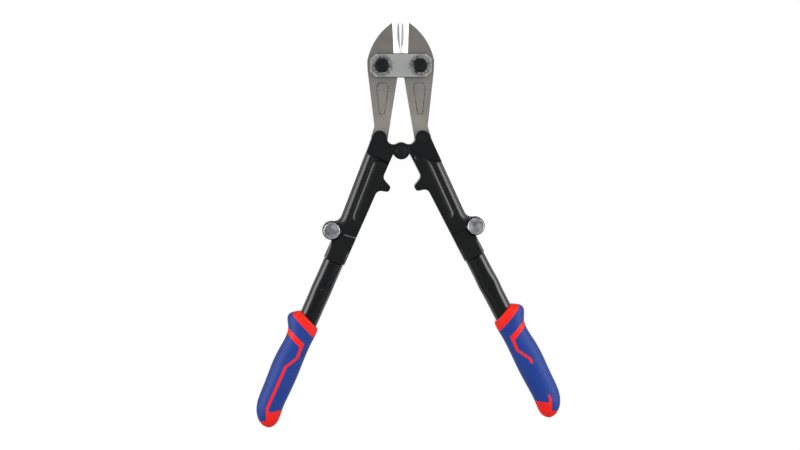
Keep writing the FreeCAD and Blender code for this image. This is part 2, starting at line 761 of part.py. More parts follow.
def fold_pin(side):
    name = "fold_pin_" + side
    seat = "knuckle_half + fold_washer_thickness"
    shank = cylinder(name + "_shank", "fold_pin_radius", "mid_height + " + seat, "-mid_height")
    head = cylinder(name + "_head", "fold_head_radius", "fold_head_height", seat)
    blank = fused(name + "_blank", [shank, head])
    doc.recompute()
    crown = value(seat) + value("fold_head_height")
    rim = [number for number, edge in enumerate(blank.Shape.Edges, start=1)
           if len(edge.Vertexes) == 1 and abs(edge.Vertexes[0].Point.z - crown) < 1e-6]
    pin = doc.addObject("Part::Fillet", name + "_domed")
    pin.Base = blank
    pin.Edges = [(number, value("fold_head_round"), value("fold_head_round")) for number in rim]
    washer = toothed_washer(name + "_toothed", "fold_washer_root", "fold_washer_radius",
                            "fold_pin_radius + running_gap", "fold_washer_thickness",
                            "fold_washer_teeth", "knuckle_half")
    bore = "fold_pin_radius + running_gap"
    plain = cut(name + "_plain",
                cylinder(name + "_plain_disc", "fold_washer_root", "fold_washer_thickness",
                         "-(" + seat + ")"),
                cylinder(name + "_plain_bore", bore, "mid_height", "-mid_height"))
    nut = cut(name + "_nut_ring",
              hexagon(name + "_nut_blank", "fold_nut_flats", "mid_height - (" + seat + ")",
                      "-mid_height", False),
              cylinder(name + "_nut_bore", bore, "mid_height", "-mid_height"))
    sign = "-" if side == "left" else ""
    across, along = fold_place(side)
    for piece, label in ((pin, name), (washer, "fold_toothed_washer_" + side),
                         (plain, "fold_plain_washer_" + side), (nut, "fold_nut_" + side)):
        stand_at(piece, sign + across, along)
        deliver(piece, label)


def rod(name, radius, start, end, body=None):
    """A cylinder along the tube's axis, from one drop to the next."""
    kind = "PartDesign::AdditiveCylinder" if body else "Part::Cylinder"
    piece = body.newObject(kind, name) if body else doc.addObject(kind, name)
    piece.Placement.Rotation = Rotation(X_AXIS, 90)
    bind(piece, "Radius", radius)
    bind(piece, "Height", "(" + end + ") - (" + start + ")")
    bind(piece, ".Placement.Base.x", "-tube_out")
    bind(piece, ".Placement.Base.y", "-(" + start + ")")
    return piece


def handle_socket(side):
    name = "handle_socket_" + side
    body = new_body(name + "_body")
    block = new_sketch(body, name + "_block_outline")
    draw_outline(block, [
        ("inner_edge", "-(" + INNER_SPLIT + " + split_gap)"),
        ("fold_out", "-(fold_drop + split_gap)"),
        ("socket_outer", "-" + SOCKET_ROOT),
        ("socket_outer", "-(socket_end - 1)"),
        ("inner_edge", "-(socket_end - 1)"),
    ])
    pad(body, name + "_block", block, "2 * knuckle_half", True)
    lug = new_sketch(body, name + "_lug_outline")
    draw_circle(lug, "fold_out", "-fold_drop", "knuckle_radius")
    pad(body, name + "_lug", lug, "2 * lug_half", True)
    rod(name + "_barrel", "socket_radius", "socket_end - socket_radius", "socket_end", body)
    rod(name + "_spigot", "tube_radius - tube_wall - running_gap", "socket_end", "spigot_end", body)
    for face, height, upward in (("front", "lug_half", True), ("rear", "-lug_half", False)):
        drill(body, name + "_" + face + "_relief", "fold_out", "-fold_drop",
              "knuckle_radius + lap_gap", height, THROUGH, False, upward)
    drill(body, name + "_fold_hole", "fold_out", "-fold_drop", "fold_pin_radius + running_gap")
    set_side(body, side)
    deliver(body, name)


def handle_tube(side):
    name = "handle_tube_" + side
    tube = cut(name + "_hollow", rod(name + "_outside", "tube_radius", "socket_end", "tube_end"),
               rod(name + "_inside", "tube_radius - tube_wall", "socket_end - 1", "tube_end + 1"))
    for face, sign in (("front", ""), ("rear", "-")):
        ball = doc.addObject("Part::Sphere", name + "_" + face + "_dimple")
        bind(ball, "Radius", "dimple_radius")
        bind(ball, ".Placement.Base.x", "-tube_out")
        bind(ball, ".Placement.Base.y", "-dimple_drop")
        bind(ball, ".Placement.Base.z", sign + "(tube_radius + dimple_radius - dimple_depth)")
        tube = cut(name + "_" + face + "_crimp", tube, ball)
    set_side(tube, side)
    deliver(tube, name)


def grip_form(name, inset):
    """The grip's outer form, or the same form shrunk by the depth of the inlay."""
    sections = []
    for section in GRIP_SECTIONS:
        ring = doc.addObject("Part::Ellipse", name + "_" + section)
        outer, inner, half = (section + "_" + word for word in ("outer", "inner", "half"))
        bind(ring, "MajorRadius", "(" + outer + " - " + inner + ") / 2 - " + inset)
        bind(ring, "MinorRadius", half + " - " + inset)
        ring.Placement.Rotation = Rotation(X_AXIS, 90)
        bind(ring, ".Placement.Base.x", "-(" + outer + " + " + inner + ") / 2")
        bind(ring, ".Placement.Base.y", "-" + section + "_drop")
        sections.append(ring)
    form = doc.addObject("Part::Loft", name)
    form.Sections = sections
    form.Solid = True
    return form


def flat_region(name, corners):
    """A prism through the grip's whole thickness."""
    body = new_body(name)
    sketch = new_sketch(body, name + "_outline")
    draw_outline(sketch, corners)
    pad(body, name + "_prism", sketch, "2 * cutter_half", True)
    return body


def slanted_box(name):
    """A box of all that is below the grip's slanted top face."""
    box = doc.addObject("Part::Box", name)
    bind(box, "Length", "2 * cutter_reach")
    bind(box, "Width", "2 * cutter_reach")
    bind(box, "Height", "2 * cutter_half")
    box.Placement.Rotation = Rotation(Z_AXIS, -value("collar_slant"))
    bind(box, ".Placement.Base.x",
         "-grip_out - cutter_reach * (cos(collar_slant) + 2 * sin(collar_slant))")
    bind(box, ".Placement.Base.y",
         "-collar_top + cutter_reach * (sin(collar_slant) - 2 * cos(collar_slant))")
    bind(box, ".Placement.Base.z", "-cutter_half")
    return box


def below_top(point):
    """How far a point of the grip is below its slanted top face."""
    slant = math.radians(value("collar_slant"))
    return (-(point.x + value("grip_out")) * math.sin(slant)
            - (point.y + value("collar_top")) * math.cos(slant))


def stripe_corners(end_drop):
    """The broad band and the thin stripe that it turns into, down to the given drop."""
    band_slope = "(bend_drop - band_outer_drop) / (flare_outer - bend_out)"
    return [
        ("flare_outer", "-band_outer_drop"),
        ("bend_out - stripe_half_width", "-bend_drop - " + band_slope + " * stripe_half_width"),
        ("stripe_near - stripe_half_width", "-stripe_near_drop"),
        ("stripe_far - stripe_half_width", "-stripe_far_drop"),
        ("stripe_far - stripe_half_width", "-" + end_drop),
        ("stripe_far + stripe_half_width", "-" + end_drop),
        ("stripe_far + stripe_half_width", "-stripe_far_drop"),
        ("stripe_near + stripe_half_width", "-stripe_near_drop"),
        ("bend_out + stripe_half_width", "-bend_drop - band_width"),
        ("flare_outer", "-band_outer_drop - band_width"),
    ]


def grip(side):
    name = "grip_" + side
    blank = common(name + "_blank", grip_form(name + "_form", "0"),
                   slanted_box(name + "_below_top"))
    doc.recompute()
    lip = [number for number, edge in enumerate(blank.Shape.Edges, start=1)
           if all(abs(below_top(vertex.Point)) < 1e-4 for vertex in edge.Vertexes)]
    whole = doc.addObject("Part::Fillet", name + "_trimmed")
    whole.Base = blank
    whole.Edges = [(number, value("lip_round"), value("lip_round")) for number in lip]
    skin = cut(name + "_skin", whole, grip_form(name + "_core_form", "inlay_depth"))
    ring_edge = "(collar_top + collar_band / cos(collar_slant) + (grip_out - %s) * tan(collar_slant))"
    ring = flat_region(name + "_ring_zone", [
        ("0", "-mouth_drop"),
        ("collar_red_out", "-mouth_drop"),
        ("collar_red_out", "-" + ring_edge % "collar_red_out"),
        ("0", "-" + ring_edge % "0"),
    ])
    if side == "left":
        stripe = flat_region(name + "_stripe_zone", stripe_corners("cap_foot_drop"))
    else:
        stripe = fused(name + "_stripe_zones", [
            flat_region(name + "_stripe_zone", stripe_corners("stripe_break_drop")),
            flat_region(name + "_stub_zone", [
                ("stripe_far - stripe_half_width", "-cap_foot_drop"),
                ("stripe_far - stripe_half_width", "-stub_drop"),
                ("stripe_far", "-stub_point_drop"),
                ("stripe_far + stripe_half_width", "-stub_drop"),
                ("stripe_far + stripe_half_width", "-cap_foot_drop"),
            ])])
    cap = flat_region(name + "_cap_zone", [
        ("0", "-cap_inner_drop"),
        ("cap_step_out", "-cap_step_drop"),
        ("stripe_far - stripe_half_width", "-cap_foot_drop"),
        ("stripe_far + stripe_half_width", "-cap_foot_drop"),
        ("cap_notch_out", "-cap_notch_drop"),
        ("flare_outer", "-cap_outer_drop"),
        ("flare_outer", "-end_drop - cutter_half"),
        ("0", "-end_drop - cutter_half"),
    ])
    lining = rod(name + "_lining", "tube_radius + sleeve_wall", "mouth_drop", "tube_end")
    bore = rod(name + "_bore", "tube_radius + running_gap", "mouth_drop - 10",
               "tube_end + running_gap")
    red = fused(name + "_red_zones", [ring, cap, lining])
    sleeve = cut(name + "_red", fused(name + "_red_fused", [
        common(name + "_red_body", whole, red), common(name + "_red_inlay", skin, stripe)]), bore)
    cover = cut(name + "_blue", cut(name + "_blue_body", whole, fused(name + "_not_blue", [
        red, common(name + "_inlay_again", skin, stripe)])), bore)
    for piece, label in ((sleeve, "grip_sleeve_" + side), (cover, "grip_cover_" + side)):
        set_side(piece, side)
        deliver(piece, label)


for side in ("left", "right"):
    jaw(side)
    upper_arm(side)
    tail_pin(side)
    fold_pin(side)
    handle_socket(side)
    handle_tube(side)
    grip(side)
centre_joint()
doc.recompute()

faulty = [item.Name for item in doc.Objects if "Invalid" in item.State or "Error" in item.State]
faulty += [item.Label for item in PARTS if item.Shape.isNull() or not item.Shape.isValid()]
if faulty:
    raise RuntimeError("not built: " + ", ".join(faulty))

os.makedirs("parts", exist_ok=True)
for item in PARTS:
    item.Shape.exportStep("parts/%s.step" % item.Label)
print(len(PARTS), "sub-parts written")
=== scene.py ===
import json
import math

import bpy
import numpy as np
from mathutils import Matrix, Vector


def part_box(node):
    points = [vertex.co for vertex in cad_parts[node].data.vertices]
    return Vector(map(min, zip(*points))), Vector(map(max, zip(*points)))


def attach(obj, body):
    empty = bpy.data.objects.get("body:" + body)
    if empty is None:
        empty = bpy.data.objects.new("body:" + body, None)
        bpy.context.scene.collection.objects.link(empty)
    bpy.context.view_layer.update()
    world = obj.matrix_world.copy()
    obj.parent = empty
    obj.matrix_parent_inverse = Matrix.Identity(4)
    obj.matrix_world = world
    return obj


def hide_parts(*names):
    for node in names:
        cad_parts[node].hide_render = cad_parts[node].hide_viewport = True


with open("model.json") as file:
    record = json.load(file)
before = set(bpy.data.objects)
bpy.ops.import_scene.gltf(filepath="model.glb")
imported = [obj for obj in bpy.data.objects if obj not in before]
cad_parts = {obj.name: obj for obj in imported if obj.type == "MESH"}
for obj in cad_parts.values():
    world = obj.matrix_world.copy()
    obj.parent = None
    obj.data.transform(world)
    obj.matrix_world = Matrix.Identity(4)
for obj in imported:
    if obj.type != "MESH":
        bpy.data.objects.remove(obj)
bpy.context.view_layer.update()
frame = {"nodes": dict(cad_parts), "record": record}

# ---- Camera ----
# The tool lies flat and is seen through a long lens from almost straight above, a little from
# the blades' side and from its own left.
scene = bpy.context.scene
scene.view_settings.view_transform = "Standard"
camera = bpy.data.objects.new("camera", bpy.data.cameras.new("camera"))
camera.data.sensor_width = 36
camera.data.lens = 104.56
camera.data.clip_end = 20
camera.rotation_euler = [math.radians(turn) for turn in (-3.5, -2.3, -0.28)]
camera.location = (-0.1009, 0.0731, 2.5083)
scene.collection.objects.link(camera)
scene.camera = camera

# ---- Studio: floor, tent and lamps ----
# A sheet of white paper as floor, in a tent of white cloth that is much darker at its foot and a
# little darker at its top, where the camera looks in. Two soft boxes and two fills light it.
MM = 0.001


def linear(colour):
    """An sRGB hex colour as linear red, green, blue and alpha."""
    parts = [int(colour[place:place + 2], 16) / 255 for place in (1, 3, 5)]
    return [part / 12.92 if part <= 0.04045 else ((part + 0.055) / 1.055) ** 2.4
            for part in parts] + [1.0]


def add_node(tree, kind, settings=None, links=None):
    """Adds one node: settings are its own properties or its inputs' values, links its inputs."""
    made = tree.nodes.new(kind)
    for name, setting in (settings or {}).items():
        if isinstance(name, str) and hasattr(made, name):
            setattr(made, name, setting)
        else:
            made.inputs[name].default_value = setting
    for name, socket in (links or {}).items():
        tree.links.new(socket, made.inputs[name])
    return made


def blank_material(name):
    """A new material without nodes, and the tree that they go in."""
    material = bpy.data.materials.new(name)
    material.use_nodes = True
    material.node_tree.nodes.clear()
    return material, material.node_tree


def finish_material(tree, shader):
    """Makes a shader the surface that a tree's material shows."""
    add_node(tree, "ShaderNodeOutputMaterial", links={"Surface": shader})


# Matt white paper. The camera and mirroring surfaces see it evenly lit, with a faint shadow.
paper, tree = blank_material("white_paper_floor")
ray = add_node(tree, "ShaderNodeLightPath")
seen = add_node(tree, "ShaderNodeMath", {"operation": "MAXIMUM"},
                {0: ray.outputs["Is Camera Ray"], 1: ray.outputs["Is Glossy Ray"]})
seen = add_node(tree, "ShaderNodeMath", {"operation": "MAXIMUM"},
                {0: seen.outputs[0], 1: ray.outputs["Is Transmission Ray"]})
share = add_node(tree, "ShaderNodeMath", {"operation": "MULTIPLY", 1: 0.88}, {0: seen.outputs[0]})
dull = add_node(tree, "ShaderNodeBsdfDiffuse", {"Color": linear("#B4B4B4")})
glow = add_node(tree, "ShaderNodeEmission", {"Color": linear("#FFFFFF"), "Strength": 1.1})
mixed = add_node(tree, "ShaderNodeMixShader",
                 links={0: share.outputs[0], 1: dull.outputs[0], 2: glow.outputs[0]})
finish_material(tree, mixed.outputs[0])
floor_reach, floor_level = 4.0, -0.4 * MM
floor_mesh = bpy.data.meshes.new("floor")
floor_mesh.from_pydata([(x * floor_reach, y * floor_reach, floor_level)
                        for x, y in ((-1, -1), (1, -1), (1, 1), (-1, 1))], [], [(0, 1, 2, 3)])
floor = bpy.data.objects.new("floor", floor_mesh)
floor.data.materials.append(paper)
scene.collection.objects.link(floor)

world = bpy.data.worlds.new("white_tent")
world.use_nodes = True
scene.world = world
tree = world.node_tree
tree.nodes.clear()
ray = add_node(tree, "ShaderNodeLightPath")
place = add_node(tree, "ShaderNodeTexCoord")
split = add_node(tree, "ShaderNodeSeparateXYZ", links={0: place.outputs["Generated"]})
tent = add_node(tree, "ShaderNodeValToRGB", links={0: split.outputs["Z"]})
stops = tent.color_ramp.elements
stops[0].color = linear("#4A4C4F")
stops[1].color = linear("#A2A4A6")
for height, colour in ((0.3, "#A8AAAC"), (0.75, "#BCBEC0")):
    stops.new(height).color = linear(colour)
sky = add_node(tree, "ShaderNodeMix", {"data_type": "RGBA", 7: linear("#FFFFFF")},
               {0: ray.outputs["Is Camera Ray"], 6: tent.outputs[0]})
back = add_node(tree, "ShaderNodeBackground", links={"Color": sky.outputs[2]})
add_node(tree, "ShaderNodeOutputWorld", links={"Surface": back.outputs[0]})

# The soft boxes are long, stand low and serve gloss alone: rounded black metal shows a long
# highlight on its outer flank, and flat black metal, which mirrors the tent's top, stays black.
# The fills stand higher and light matt surfaces alone, so that a grip darkens towards its sides.
outward = {"left": -1, "right": 1}
for kind, (out, along, height), size, power, for_gloss in (
        ("soft_box", (1.0, 0.1, 0.3), (1.4, 0.6), 17.0, True),
        ("fill", (0.75, 0.1, 0.9), (0.8, 0.8), 8.0, False)):
    for side, sign in outward.items():
        lamp = bpy.data.lights.new(side + "_" + kind, "AREA")
        lamp.shape = "RECTANGLE"
        lamp.size, lamp.size_y = size
        lamp.energy = power
        box = bpy.data.objects.new(side + "_" + kind, lamp)
        box.location = (sign * out, along, height)
        box.rotation_euler = (-box.location).to_track_quat("-Z", "Y").to_euler()
        box.visible_glossy = for_gloss
        box.visible_diffuse = not for_gloss
        scene.collection.objects.link(box)

# ---- Jaws ----
# Two drop-forged jaws of tool steel, blasted to a warm grey, with their colour painted a
# little darker at the blades as shade. The blades' slopes are ground bright, with a hollow honed
# facet along each edge, and the outline of a panel is struck into each flank, with shade painted
# into it.


def cells(size):
    """The scale of a pattern whose grains are so many millimetres apart."""
    return 1 / (size * MM)


def own_copy(node, name):
    """A new object with a copy of a node's mesh, to be shaped further."""
    piece = bpy.data.objects.new(name, frame["nodes"][node].data.copy())
    piece.data.materials.clear()
    scene.collection.objects.link(piece)
    return piece


def break_edges(piece, width, limit=28):
    """Rounds the edges of a piece that are sharper than a limit in degrees."""
    bevel = piece.modifiers.new("broken_edges", "BEVEL")
    bevel.width = width * MM
    bevel.segments = 2
    bevel.limit_method = "ANGLE"
    bevel.angle_limit = math.radians(limit)
    bevel.harden_normals = True
    bevel.use_clamp_overlap = False


# Blasted forged steel: a dull warm grey with a fine grain and faint clouds of 22 mm. The real
# pits are finer, and 0.7 mm is as fine as shows.
blasted_steel, tree = blank_material("blasted_forged_steel")
place = add_node(tree, "ShaderNodeTexCoord")
pits = add_node(tree, "ShaderNodeTexNoise", {"Scale": cells(0.7), "Detail": 4.0},
                {"Vector": place.outputs["Object"]})
cloud = add_node(tree, "ShaderNodeTexNoise", {"Scale": cells(22), "Detail": 3.0},
                 {"Vector": place.outputs["Object"]})
blend = add_node(tree, "ShaderNodeMath", {"operation": "MULTIPLY_ADD", 1: 0.45},
                 {0: pits.outputs[0], 2: cloud.outputs[0]})
tone = add_node(tree, "ShaderNodeMapRange", {"From Min": 0.5, "From Max": 0.95},
                {"Value": blend.outputs[0]})
# Painted light and shade: the steel's colour is darker at the blades and paler at the tails,
# 100 mm away, because light falls more weakly on the blades.
split = add_node(tree, "ShaderNodeSeparateXYZ", links={0: place.outputs["Object"]})
length = add_node(tree, "ShaderNodeMapRange", {"From Min": 120 * MM, "From Max": 20 * MM},
                  {"Value": split.outputs["Y"]})
shaded_blade_end = add_node(tree, "ShaderNodeMix", {"data_type": "RGBA", 6: linear("#8A8881"),
                                            7: linear("#999690")}, {0: tone.outputs[0]})
lit_tail_end = add_node(tree, "ShaderNodeMix", {"data_type": "RGBA", 6: linear("#A3A099"),
                                            7: linear("#B4B1AA")}, {0: tone.outputs[0]})
hue = add_node(tree, "ShaderNodeMix", {"data_type": "RGBA"},
               {0: length.outputs[0], 6: shaded_blade_end.outputs[2], 7: lit_tail_end.outputs[2]})
relief = add_node(tree, "ShaderNodeBump", {"Strength": 0.25, "Distance": 0.1 * MM},
                  {"Height": pits.outputs[0]})
metal = add_node(tree, "ShaderNodeBsdfPrincipled", {"Metallic": 1.0, "Roughness": 0.52},
                 {"Base Color": hue.outputs[2], "Normal": relief.outputs[0]})
finish_material(tree, metal.outputs[0])

# Ground steel: bright, with grinding lines across the blade, drawn 0.4 mm apart so that they show.
ground_steel, tree = blank_material("ground_bright_steel")
place = add_node(tree, "ShaderNodeTexCoord")
along = add_node(tree, "ShaderNodeMapping", {"Scale": (cells(17), cells(0.4), cells(17))},
                 {"Vector": place.outputs["Object"]})
lines = add_node(tree, "ShaderNodeTexNoise", {"Scale": 1.0, "Detail": 2.0},
                 {"Vector": along.outputs[0]})
sheen = add_node(tree, "ShaderNodeMapRange", {"To Min": 0.3, "To Max": 0.42},
                 {"Value": lines.outputs[0]})
metal = add_node(tree, "ShaderNodeBsdfPrincipled",
                 {"Metallic": 1.0, "Base Color": linear("#B9B8B4")},
                 {"Roughness": sheen.outputs[0]})
finish_material(tree, metal.outputs[0])

# Honed steel: rubbed on a stone to an even, slightly hazy shine.
honed_steel, tree = blank_material("honed_steel")
metal = add_node(tree, "ShaderNodeBsdfPrincipled",
                 {"Metallic": 1.0, "Roughness": 0.35, "Base Color": linear("#C4C4C6")})
finish_material(tree, metal.outputs[0])

# Painted shade in the struck line: matt and dark, in stretches of about 2 mm with the steel's
# grey between them.
struck_line, tree = blank_material("painted_shade_in_struck_line")
place = add_node(tree, "ShaderNodeTexCoord")
patches = add_node(tree, "ShaderNodeTexNoise", {"Scale": cells(2), "Detail": 1.0},
                   {"Vector": place.outputs["Object"]})
shaded_stretches = add_node(tree, "ShaderNodeMapRange", {"From Min": 0.42, "From Max": 0.6},
                  {"Value": patches.outputs[0]})
hue = add_node(tree, "ShaderNodeMix", {"data_type": "RGBA", 6: linear("#2E2D2A"),
                                       7: linear("#86837C")}, {0: shaded_stretches.outputs[0]})
painted_shade = add_node(tree, "ShaderNodeBsdfPrincipled", {"Roughness": 0.8},
                {"Base Color": hue.outputs[2]})
finish_material(tree, painted_shade.outputs[0])

hinge_spots = {joint["name"]: joint["pos_m"] for joint in frame["record"]["behaviour"]["joints"]}
middle = hinge_spots["centre_hinge"][2]     # the height of the tool's middle plane
plate_low, plate_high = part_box("front_plate")
jaw_face = plate_low[2] - 0.15 * MM         # the jaws have 0.15 mm of play under the plate
blade_foot = plate_high[1] - 6 * MM         # the blades run a little way in under the plate
steepest_ground, steepest_honed = 34, 75    # slopes of the blade's facets, in degrees
flattest_ground, least_sideways = 20, 0.25  # the least slope, and the least lean to one side
shallowest_line, deepest_line = 0.05, 0.55  # depths of the struck line, in millimetres
for side in ("left", "right"):
    jaw = own_copy("jaw_" + side, side + "_jaw")
    for material in (blasted_steel, ground_steel, honed_steel, struck_line):
        jaw.data.materials.append(material)
    for face in jaw.data.polygons:
        slope = math.degrees(math.acos(min(abs(face.normal.z), 1)))
        sunk = (jaw_face - middle - abs(face.center.z - middle)) / MM
        on_blade = face.center.y > blade_foot
        sideways = abs(face.normal.x) > least_sideways
        if on_blade and sideways and flattest_ground < slope < steepest_honed:
            face.material_index = 1 if slope < steepest_ground else 2
        # Faces sunk into the struck line get the painted shade.
        elif not on_blade and shallowest_line < sunk < deepest_line:
            face.material_index = 3
    break_edges(jaw, 0.12, limit=40)
    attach(jaw, "jaw_" + side)
    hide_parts("jaw_" + side)

# ---- Side plates ----
# Two flat plates blanked from bright steel, with the long edges and the cut corners chamfered.
# They are clamped over the jaws by the two bolts, and shade is painted in a ragged ring round the
# washers.


def dress(names, material, width):
    """Gives CAD nodes their finish and breaks their edges by a width in millimetres."""
    for name in names:
        piece = frame["nodes"][name]
        piece.data.materials.clear()
        piece.data.materials.append(material)
        break_edges(piece, width)


# Satin rolled steel: a pale grey, with faint rolling lines along the plate, drawn 0.7 mm apart so
# that they show.
plate_steel, tree = blank_material("satin_plate_steel")
place = add_node(tree, "ShaderNodeTexCoord")
along = add_node(tree, "ShaderNodeMapping", {"Scale": (cells(11), cells(0.7), cells(11))},
                 {"Vector": place.outputs["Object"]})
lines = add_node(tree, "ShaderNodeTexNoise", {"Scale": 1.0, "Detail": 3.0},
                 {"Vector": along.outputs[0]})
hue = add_node(tree, "ShaderNodeMix", {"data_type": "RGBA", 6: linear("#D4D4D0"),
                                       7: linear("#E2E2DE")}, {0: lines.outputs[0]})
# Painted shade round the washers thins out from their rims in specks of 1.7 mm. As the bolts
# stand evenly, |x| serves for both.
bolt_x, bolt_y = hinge_spots["jaw_right_hinge"][:2]
mirrored = add_node(tree, "ShaderNodeVectorMath", {"operation": "ABSOLUTE"},
                    {0: place.outputs["Object"]})
level = add_node(tree, "ShaderNodeVectorMath", {"operation": "MULTIPLY", 1: (1, 1, 0)},
                 {0: mirrored.outputs[0]})
from_bolt = add_node(tree, "ShaderNodeVectorMath",
                     {"operation": "DISTANCE", 1: (bolt_x, bolt_y, 0)}, {0: level.outputs[0]})
specks = add_node(tree, "ShaderNodeTexNoise", {"Scale": cells(1.7), "Detail": 2.0},
                  {"Vector": place.outputs["Object"]})
ragged = add_node(tree, "ShaderNodeMath", {"operation": "MULTIPLY_ADD", 1: 8 * MM},
                  {0: specks.outputs[0], 2: from_bolt.outputs["Value"]})
out_of_painted_shade = add_node(tree, "ShaderNodeMapRange", {"From Min": 13 * MM, "From Max": 17 * MM},
                 {"Value": ragged.outputs[0]})
# The darker grey is the painted shade round the washers.
hue = add_node(tree, "ShaderNodeMix", {"data_type": "RGBA", 6: linear("#8E8E8A")},
               {0: out_of_painted_shade.outputs[0], 7: hue.outputs[2]})
# The chamfers are left as the mill cut them, duller than the faces.
facing = add_node(tree, "ShaderNodeSeparateXYZ", links={0: place.outputs["Normal"]})
upright = add_node(tree, "ShaderNodeMath", {"operation": "ABSOLUTE"}, {0: facing.outputs["Z"]})
flat = add_node(tree, "ShaderNodeMapRange", {"From Min": 0.8, "From Max": 0.97},
                {"Value": upright.outputs[0]})
hue = add_node(tree, "ShaderNodeMix", {"data_type": "RGBA", 6: linear("#6E6E6B")},
               {0: flat.outputs[0], 7: hue.outputs[2]})
sheen = add_node(tree, "ShaderNodeMapRange", {"To Min": 0.62, "To Max": 0.42},
                 {"Value": flat.outputs[0]})
metal = add_node(tree, "ShaderNodeBsdfPrincipled", {"Metallic": 1.0},
                 {"Base Color": hue.outputs[2], "Roughness": sheen.outputs[0]})
finish_material(tree, metal.outputs[0])
dress(("front_plate", "rear_plate"), plate_steel, 0.12)

# ---- Bolts, nuts and washers of the head ----
# Hexagon bolts and nuts in black oxide, a toothed lock washer of dull zinc under each head and a
# plain one under each nut. The bolt heads are crowned, with a narrow chamfer.


def revolved(name, rings, closed, material):
    """A smooth piece from rings of points: each ring is an array of places in metres."""
    count = len(rings[0])
    faces = []
    for ring in range(len(rings) if closed else len(rings) - 1):
        first, second = ring * count, (ring + 1) % len(rings) * count
        faces += [(first + step, first + (step + 1) % count,
                   second + (step + 1) % count, second + step) for step in range(count)]
    if not closed:
        last = (len(rings) - 1) * count
        faces += [tuple(reversed(range(count))), tuple(range(last, last + count))]
    mesh = bpy.data.meshes.new(name)
    mesh.from_pydata(np.concatenate(rings).tolist(), [], faces)
    mesh.materials.append(material)
    mesh.shade_smooth()
    mesh.set_sharp_from_angle(angle=math.radians(40))
    piece = bpy.data.objects.new(name, mesh)
    scene.collection.objects.link(piece)
    return piece


around = np.linspace(0, 2 * math.pi, 96, endpoint=False)


def turned(name, profile, spot, material):
    """A closed piece turned about an upright axis, from radii and heights in millimetres."""
    rings = [np.stack([spot[0] + radius * np.cos(around) * MM,
                       spot[1] + radius * np.sin(around) * MM,
                       np.full(len(around), height * MM)], axis=1) for radius, height in profile]
    return revolved(name, rings, False, material)


def hexagon_bolt(name, node, body, spot, flats, corner_radius, head, shank_radius):
    """A bolt with a crowned, chamfered head in the room of a CAD bolt, in millimetres."""
    foot, top = [corner[2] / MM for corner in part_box(node)]
    hexagon = flats / 2 / np.cos(np.mod(around, math.pi / 3) - math.pi / 6)
    across = np.minimum(hexagon, corner_radius)
    crown, chamfer, point = 0.06 * flats, 0.03 * flats, 0.5
    face_inset, seat_inset, seat_height = 0.15, 0.2, 0.3
    seat, rim, face_radius = top - head, top - crown, flats / 2 - face_inset
    profile = [(shank_radius - point, foot), (shank_radius, foot + point), (shank_radius, seat),
               (across - seat_inset, seat), (across, seat + seat_height),
               (across, rim - chamfer), (face_radius, rim)]
    profile += [(face_radius * share, top - crown * share ** 2)
                for share in (0.85, 0.7, 0.5, 0.3, 0.08)]
    bolt = turned(name, profile, spot, black_oxide)
    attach(bolt, body)
    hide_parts(node)


# Black oxide on forged steel: a thin blue-black film, half glossy, with the forging scale's
# shallow hollows of about 4 mm under it.
black_oxide, tree = blank_material("black_oxide_steel")
place = add_node(tree, "ShaderNodeTexCoord")
scale = add_node(tree, "ShaderNodeTexNoise", {"Scale": cells(4), "Detail": 1.0, "Distortion": 0.6},
                 {"Vector": place.outputs["Object"]})
sheen = add_node(tree, "ShaderNodeMapRange", {"To Min": 0.26, "To Max": 0.42},
                 {"Value": scale.outputs[0]})
relief = add_node(tree, "ShaderNodeBump", {"Strength": 0.8, "Distance": 1 * MM},
                  {"Height": scale.outputs[0]})
metal = add_node(tree, "ShaderNodeBsdfPrincipled",
                 {"Metallic": 0.3, "Base Color": linear("#121315"), "Specular IOR Level": 0.4},
                 {"Roughness": sheen.outputs[0], "Normal": relief.outputs[0]})
finish_material(tree, metal.outputs[0])

# Dull zinc: grime in spots of about 1.5 mm, with bright zinc between them.
dull_zinc, tree = blank_material("dull_zinc_washer")
place = add_node(tree, "ShaderNodeTexCoord")
grain = add_node(tree, "ShaderNodeTexNoise", {"Scale": cells(1.5), "Detail": 2.0},
                 {"Vector": place.outputs["Object"]})
worn = add_node(tree, "ShaderNodeMapRange", {"From Min": 0.4, "From Max": 0.6},
                {"Value": grain.outputs[0]})
hue = add_node(tree, "ShaderNodeMix", {"data_type": "RGBA", 6: linear("#5A5A58"),
                                       7: linear("#DADAD8")}, {0: worn.outputs[0]})
metal = add_node(tree, "ShaderNodeBsdfPrincipled", {"Metallic": 1.0, "Roughness": 0.45},
                 {"Base Color": hue.outputs[2]})
finish_material(tree, metal.outputs[0])

for side in ("left", "right"):
    hexagon_bolt(side + "_jaw_bolt", "jaw_bolts", "head", hinge_spots["jaw_" + side + "_hinge"],
                 flats=15.0, corner_radius=7.95, head=6.0, shank_radius=5.0)
dress(["jaw_bolt_nuts"], black_oxide, 0.3)
dress(("toothed_washers", "plain_washers"), dull_zinc, 0.12)

# ---- Upper arms ----
# Two forged arms with a hard black coat. Along the outer side runs a round rail, then a shallow
# trough, then a raised pad with a crisp outer edge. Every edge is as soft as a forging leaves it.
lean = {"left": math.radians(24.05), "right": math.radians(26.95)}  # outward, of each arm


def fine_form(node, size, turn):
    """A node's mesh in even small faces that run along the turned arm, with its corners."""
    piece = own_copy(node, node + "_form")
    piece.data.transform(Matrix.Rotation(-turn, 4, "Z"))
    remesh = piece.modifiers.new("even_faces", "REMESH")
    remesh.mode = "VOXEL"
    remesh.voxel_size = size * MM
    mesh = bpy.data.meshes.new_from_object(
        piece.evaluated_get(bpy.context.evaluated_depsgraph_get()))
    bpy.data.objects.remove(piece)
    mesh.transform(Matrix.Rotation(turn, 4, "Z"))
    corners = np.empty(len(mesh.vertices) * 3)
    mesh.vertices.foreach_get("co", corners)
    return mesh, corners.reshape(-1, 3)


